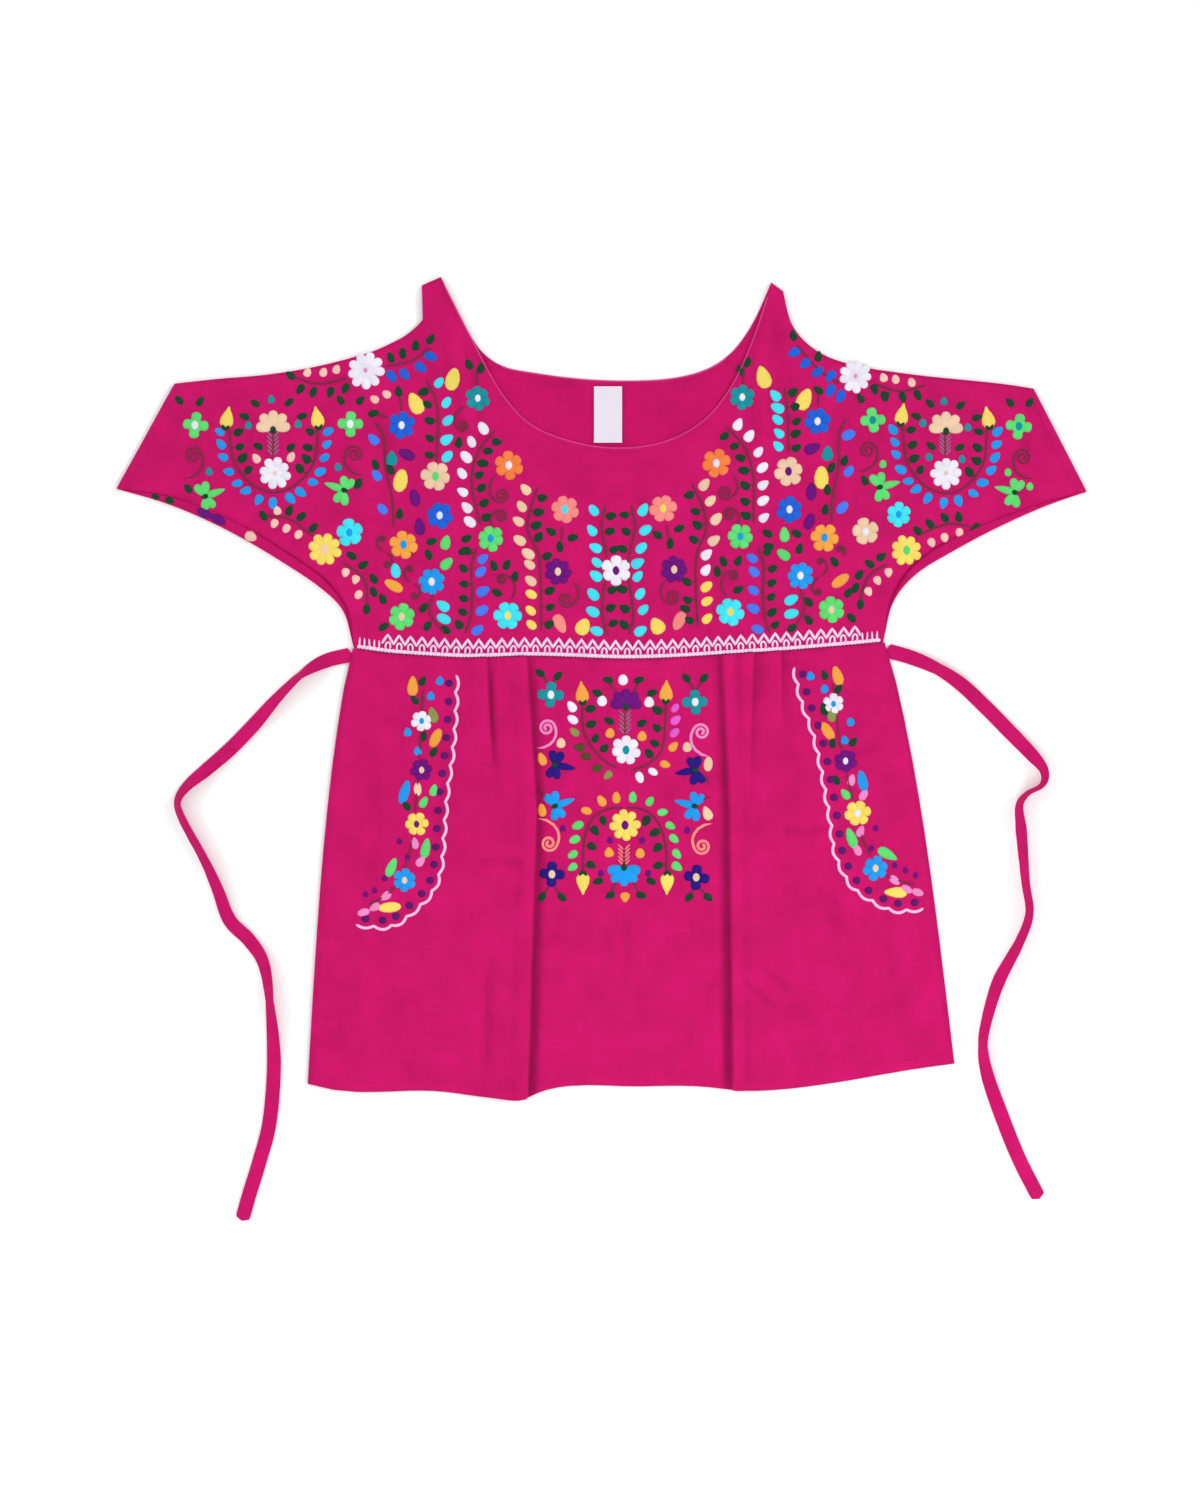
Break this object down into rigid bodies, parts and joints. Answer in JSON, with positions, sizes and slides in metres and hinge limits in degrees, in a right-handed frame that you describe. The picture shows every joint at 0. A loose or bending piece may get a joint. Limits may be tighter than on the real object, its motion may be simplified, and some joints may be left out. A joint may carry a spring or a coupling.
{
  "type": "cold shoulder blouse",
  "caption": "Short-sleeved cotton blouse laid flat, with scoop neck, cold-shoulder straps, embroidered yoke, pleated skirt panel and waist ties.",
  "frame": {"origin": "on the flat underside of the back, just above the middle of the waist seam", "axes": "+Z away from the surface it lies on, +Y towards the neck, +X to the right as seen from the front"},
  "size_m": [0.7752, 0.7562, 0.0116],
  "materials": {
    "cloth": "plain-woven cotton, matt",
    "braid": "hand-worked cotton thread, soft sheen",
    "thread": "satin-stitch embroidery thread in many colours",
    "label": "smooth woven ribbon, blank"
  },
  "bodies": {
    "root": {"yoke_front": "cloth", "yoke_back": "cloth", "skirt_front": "cloth", "skirt_back": "cloth", "tie_left": "cloth", "tie_right": "cloth", "waist_braid": "braid", "care_label": "label"}
  },
  "joints": []
}
